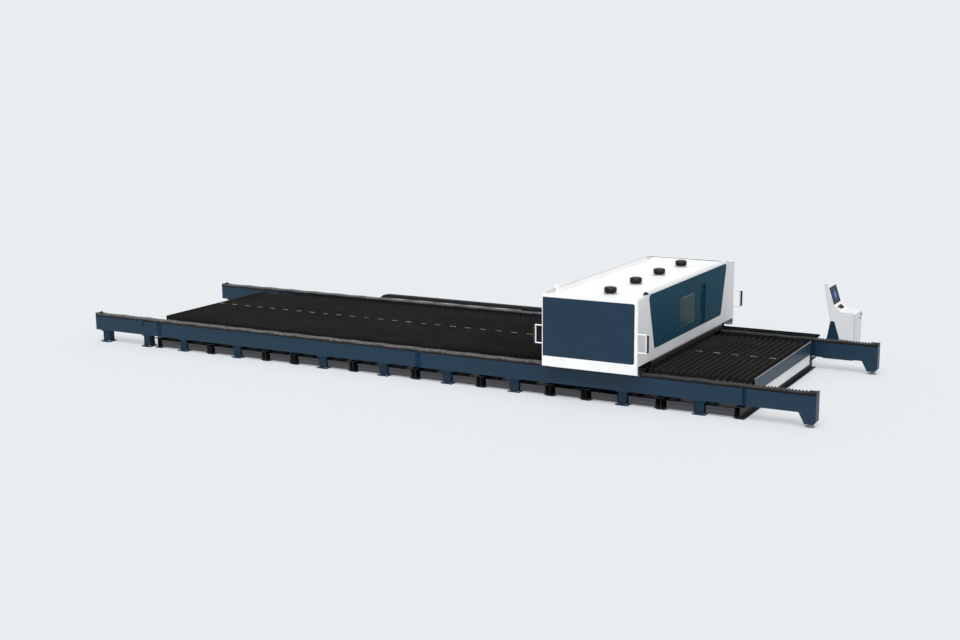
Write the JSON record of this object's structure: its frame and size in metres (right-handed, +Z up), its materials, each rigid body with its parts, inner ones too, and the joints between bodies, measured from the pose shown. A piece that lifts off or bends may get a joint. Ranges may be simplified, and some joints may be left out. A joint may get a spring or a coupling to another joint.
{
  "type": "fiber laser cutting machine",
  "caption": "Large gantry laser cutter: slatted cutting table between ground rails, a travelling enclosed housing with sliding door and vents, slag drawers and a control console.",
  "frame": {"origin": "on the floor, at the centre of the whole machine's bounding box at rest, console included", "axes": "+X along the rails towards the housing's front and the console, +Y across the table away from the operator's near rail, +Z up"},
  "size_m": [14.81, 5.682, 1.874],
  "materials": {
    "navy_paint": "satin dark petrol-blue powder coat",
    "sleeper_paint": "satin near-black paint",
    "white_paint": "satin white powder coat",
    "light_grey_paint": "satin light grey powder coat",
    "mill_scale_steel": "dark laser-cut steel with dull edges",
    "black_fabric": "coated cloth",
    "bare_steel": "ground steel",
    "zinc_steel": "zinc plated",
    "black_plastic": "matt",
    "grey_paint": "satin grey paint",
    "motor_black": "satin black",
    "machined_aluminium": "machined",
    "chain_plastic": "matt black",
    "tinted_window": "green tinted laser protection glass",
    "screen_glass": "display glass",
    "red_plastic": "gloss red",
    "drawer_paint": "worn dark grey paint"
  },
  "bodies": {
    "base": {"near_rail": "navy_paint", "far_rail": "navy_paint", "rail_legs": "navy_paint", "levelling_feet": "bare_steel", "linear_guides": "bare_steel", "gear_racks": "bare_steel", "left_bellows": "black_fabric", "right_bellows": "black_fabric", "rail_end_stops": "zinc_steel", "table_sleepers": "sleeper_paint", "table_bearers": "navy_paint", "slat_holders": "navy_paint", "slats": "mill_scale_steel", "table_end_panels": "light_grey_paint", "chain_tray": "navy_paint", "chain_lower_run": "chain_plastic", "console_cabinet": "white_paint", "console_pedestal": "navy_paint", "console_screen": "screen_glass"},
    "gantry": {"roof_shell": "white_paint", "side_frames": "white_paint", "side_panels": "navy_paint", "face_frames": "light_grey_paint", "fascias": "navy_paint", "roof_vents": "black_plastic", "bumper_handles": "black_plastic", "brush_curtains": "black_fabric", "end_trucks": "grey_paint", "cross_beam": "grey_paint", "x_drive_motors": "motor_black", "y_guides_and_rack": "bare_steel", "chain_upper_run": "chain_plastic"},
    "head_carriage": {"y_carriage": "grey_paint"},
    "z_axis": {"z_slide": "machined_aluminium", "cutting_head": "machined_aluminium"},
    "access_door": {"sliding_door": "navy_paint", "door_window": "tinted_window"},
    "near_pinion_shaft": {"near_pinion": "bare_steel"},
    "far_pinion_shaft": {"far_pinion": "bare_steel"},
    "chain_loop": {"chain_bend": "chain_plastic"},
    "console_door_leaf": {"console_door": "white_paint"},
    "stop_button": {"e_stop_button": "red_plastic"},
    "slag_drawer_01_body": {"slag_drawer_01": "drawer_paint"},
    "slag_drawer_02_body": {"slag_drawer_02": "drawer_paint"},
    "slag_drawer_03_body": {"slag_drawer_03": "drawer_paint"},
    "slag_drawer_04_body": {"slag_drawer_04": "drawer_paint"},
    "slag_drawer_05_body": {"slag_drawer_05": "drawer_paint"},
    "slag_drawer_06_body": {"slag_drawer_06": "drawer_paint"},
    "slag_drawer_07_body": {"slag_drawer_07": "drawer_paint"},
    "slag_drawer_08_body": {"slag_drawer_08": "drawer_paint"},
    "slag_drawer_09_body": {"slag_drawer_09": "drawer_paint"},
    "slag_drawer_10_body": {"slag_drawer_10": "drawer_paint"},
    "slag_drawer_11_body": {"slag_drawer_11": "drawer_paint"},
    "slag_drawer_12_body": {"slag_drawer_12": "drawer_paint"},
    "slag_drawer_13_body": {"slag_drawer_13": "drawer_paint"},
    "slag_drawer_14_body": {"slag_drawer_14": "drawer_paint"},
    "slag_drawer_15_body": {"slag_drawer_15": "drawer_paint"},
    "slag_drawer_16_body": {"slag_drawer_16": "drawer_paint"},
    "slag_drawer_17_body": {"slag_drawer_17": "drawer_paint"},
    "slag_drawer_18_body": {"slag_drawer_18": "drawer_paint"}
  },
  "joints": [
    {"name": "gantry_travel", "type": "slide", "parent": "base", "child": "gantry", "axis": [1, 0, 0], "range_m": [-9.5, 2.5], "deforming": ["left_bellows", "right_bellows", "chain_upper_run", "chain_lower_run"]},
    {"name": "carriage_travel", "type": "slide", "parent": "gantry", "child": "head_carriage", "axis": [0, 1, 0], "range_m": [-1.5, 1.5]},
    {"name": "head_lift", "type": "slide", "parent": "head_carriage", "child": "z_axis", "axis": [0, 0, 1], "range_m": [-0.12, 0.18]},
    {"name": "door_slide", "type": "slide", "parent": "gantry", "child": "access_door", "axis": [0, -1, 0], "range_m": [0, 1.24]},
    {"name": "near_pinion_spin", "type": "hinge", "parent": "gantry", "child": "near_pinion_shaft", "pos_m": [3.145, -2.4857, 0.529], "axis": [0, 0, 1], "range_deg": [-5400, 19800]},
    {"name": "far_pinion_spin", "type": "hinge", "parent": "gantry", "child": "far_pinion_shaft", "pos_m": [3.145, 1.4027, 0.529], "axis": [0, 0, 1], "range_deg": [-19800, 5400]},
    {"name": "chain_loop_travel", "type": "slide", "parent": "base", "child": "chain_loop", "axis": [1, 0, 0], "range_m": [-4.75, 1.25]},
    {"name": "console_door_swing", "type": "hinge", "parent": "base", "child": "console_door_leaf", "pos_m": [6.749, 2.3413, 0.45], "axis": [0, 0, -1], "range_deg": [0, 110]},
    {"name": "stop_button_push", "type": "slide", "parent": "base", "child": "stop_button", "axis": [-0.6266, 0, -0.7793], "range_m": [0, 0.005], "stiffness_N_per_m": 1000},
    {"name": "slag_drawer_01_pull", "type": "slide", "parent": "base", "child": "slag_drawer_01_body", "axis": [0, -1, 0], "range_m": [0, 1.5]},
    {"name": "slag_drawer_02_pull", "type": "slide", "parent": "base", "child": "slag_drawer_02_body", "axis": [0, -1, 0], "range_m": [0, 1.5]},
    {"name": "slag_drawer_03_pull", "type": "slide", "parent": "base", "child": "slag_drawer_03_body", "axis": [0, -1, 0], "range_m": [0, 1.5]},
    {"name": "slag_drawer_04_pull", "type": "slide", "parent": "base", "child": "slag_drawer_04_body", "axis": [0, -1, 0], "range_m": [0, 1.5]},
    {"name": "slag_drawer_05_pull", "type": "slide", "parent": "base", "child": "slag_drawer_05_body", "axis": [0, -1, 0], "range_m": [0, 1.5]},
    {"name": "slag_drawer_06_pull", "type": "slide", "parent": "base", "child": "slag_drawer_06_body", "axis": [0, -1, 0], "range_m": [0, 1.5]},
    {"name": "slag_drawer_07_pull", "type": "slide", "parent": "base", "child": "slag_drawer_07_body", "axis": [0, -1, 0], "range_m": [0, 1.5]},
    {"name": "slag_drawer_08_pull", "type": "slide", "parent": "base", "child": "slag_drawer_08_body", "axis": [0, -1, 0], "range_m": [0, 1.5]},
    {"name": "slag_drawer_09_pull", "type": "slide", "parent": "base", "child": "slag_drawer_09_body", "axis": [0, -1, 0], "range_m": [0, 1.5]},
    {"name": "slag_drawer_10_pull", "type": "slide", "parent": "base", "child": "slag_drawer_10_body", "axis": [0, -1, 0], "range_m": [0, 1.5]},
    {"name": "slag_drawer_11_pull", "type": "slide", "parent": "base", "child": "slag_drawer_11_body", "axis": [0, -1, 0], "range_m": [0, 1.5]},
    {"name": "slag_drawer_12_pull", "type": "slide", "parent": "base", "child": "slag_drawer_12_body", "axis": [0, -1, 0], "range_m": [0, 1.5]},
    {"name": "slag_drawer_13_pull", "type": "slide", "parent": "base", "child": "slag_drawer_13_body", "axis": [0, -1, 0], "range_m": [0, 1.5]},
    {"name": "slag_drawer_14_pull", "type": "slide", "parent": "base", "child": "slag_drawer_14_body", "axis": [0, -1, 0], "range_m": [0, 1.5]},
    {"name": "slag_drawer_15_pull", "type": "slide", "parent": "base", "child": "slag_drawer_15_body", "axis": [0, -1, 0], "range_m": [0, 1.5]},
    {"name": "slag_drawer_16_pull", "type": "slide", "parent": "base", "child": "slag_drawer_16_body", "axis": [0, -1, 0], "range_m": [0, 1.5]},
    {"name": "slag_drawer_17_pull", "type": "slide", "parent": "base", "child": "slag_drawer_17_body", "axis": [0, -1, 0], "range_m": [0, 1.5]},
    {"name": "slag_drawer_18_pull", "type": "slide", "parent": "base", "child": "slag_drawer_18_body", "axis": [0, -1, 0], "range_m": [0, 1.5]}
  ],
  "couplings": [
    {"joint": "near_pinion_spin", "follows": "gantry_travel", "rad_per_m": -35.714},
    {"joint": "far_pinion_spin", "follows": "gantry_travel", "rad_per_m": 35.714},
    {"joint": "chain_loop_travel", "follows": "gantry_travel", "ratio": 0.5}
  ]
}
